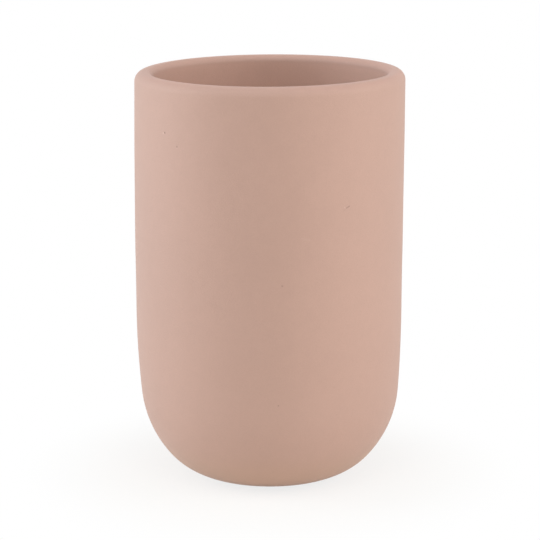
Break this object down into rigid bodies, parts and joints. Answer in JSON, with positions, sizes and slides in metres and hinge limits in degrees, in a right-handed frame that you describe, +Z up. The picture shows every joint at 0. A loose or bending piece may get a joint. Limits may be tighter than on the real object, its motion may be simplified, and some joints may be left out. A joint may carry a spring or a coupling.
{
  "type": "bathroom tumbler",
  "caption": "Straight-sided matt stoneware bathroom tumbler with a thick rounded lip, a full round base and a bonded non-slip pad in its foot recess.",
  "frame": {"origin": "centre of the pad's underside, the plane that the tumbler stands on", "axes": "+Z up along the vessel's axis, towards the mouth; X and Y level, and alike because the tumbler is round"},
  "size_m": [0.08, 0.08, 0.123],
  "materials": {
    "matt_stoneware": "matte",
    "pad_foam": "matte",
    "adhesive": "satin"
  },
  "bodies": {
    "root": {"stoneware_vessel": "matt_stoneware", "non_slip_pad": "pad_foam", "adhesive_film": "adhesive"}
  },
  "joints": []
}
